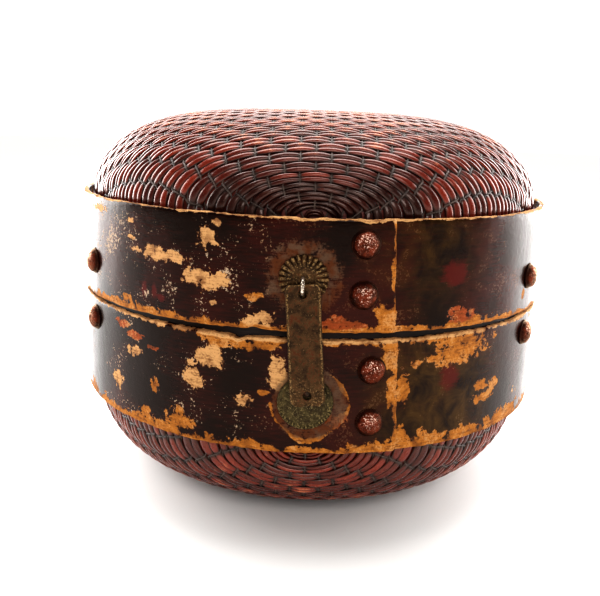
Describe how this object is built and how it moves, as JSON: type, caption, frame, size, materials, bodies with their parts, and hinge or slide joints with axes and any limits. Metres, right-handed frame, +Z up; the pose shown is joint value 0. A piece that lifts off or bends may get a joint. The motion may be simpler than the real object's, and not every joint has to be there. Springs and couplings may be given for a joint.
{
  "type": "hat box",
  "caption": "Round bentwood hat box with woven domes above and below, a lift-up lid on a rear hinge, domed nails and a swinging strap hasp.",
  "frame": {"origin": "middle of the flat under the woven base, on the ground", "axes": "+Z up the axis of the two round bands, -Y towards the hasp, +X towards the lap of the bands"},
  "size_m": [0.39, 0.41, 0.3063],
  "materials": {
    "lacquer": "worn dark lacquer over an ochre ground",
    "bare_wood": "bare, aged",
    "woven_cane": "red-brown lacquered weave",
    "copper": "hammered, red-brown tarnish",
    "bronze": "olive-brown tarnish",
    "iron": "rusted"
  },
  "bodies": {
    "base": {"base_band": "lacquer", "base_collar": "bare_wood", "base_dome": "woven_cane", "base_nail_front_left": "copper", "base_nail_front_right": "copper", "base_nail_lap_lower": "copper", "base_nail_lap_upper": "copper", "base_nail_rear_left": "copper", "base_nail_rear_right": "copper", "catch_plate": "bronze", "catch_stub": "iron", "hinge_leaf_base": "iron", "hinge_pin": "iron", "hinge_rivet_base_far": "iron", "hinge_rivet_base_near": "iron"},
    "lid": {"hasp_staple": "iron", "hinge_leaf_lid": "iron", "hinge_rivet_lid_far": "iron", "hinge_rivet_lid_near": "iron", "lid_band": "lacquer", "lid_dome": "woven_cane", "lid_hoop": "bare_wood", "lid_nail_front_left": "copper", "lid_nail_front_right": "copper", "lid_nail_lap_lower": "copper", "lid_nail_lap_upper": "copper", "lid_nail_rear_left": "copper", "lid_nail_rear_right": "copper", "rosette_plate": "bronze"},
    "hasp": {"hasp_strap": "bronze"}
  },
  "joints": [
    {"name": "lid_hinge", "type": "hinge", "parent": "base", "child": "lid", "pos_m": [0, 0.1987, 0.1579], "axis": [-1, 0, 0], "range_deg": [0, 105]},
    {"name": "hasp_swing", "type": "hinge", "parent": "lid", "child": "hasp", "pos_m": [-0.0058, -0.2019, 0.1938], "axis": [-1, 0, 0], "range_deg": [0, 150]}
  ]
}
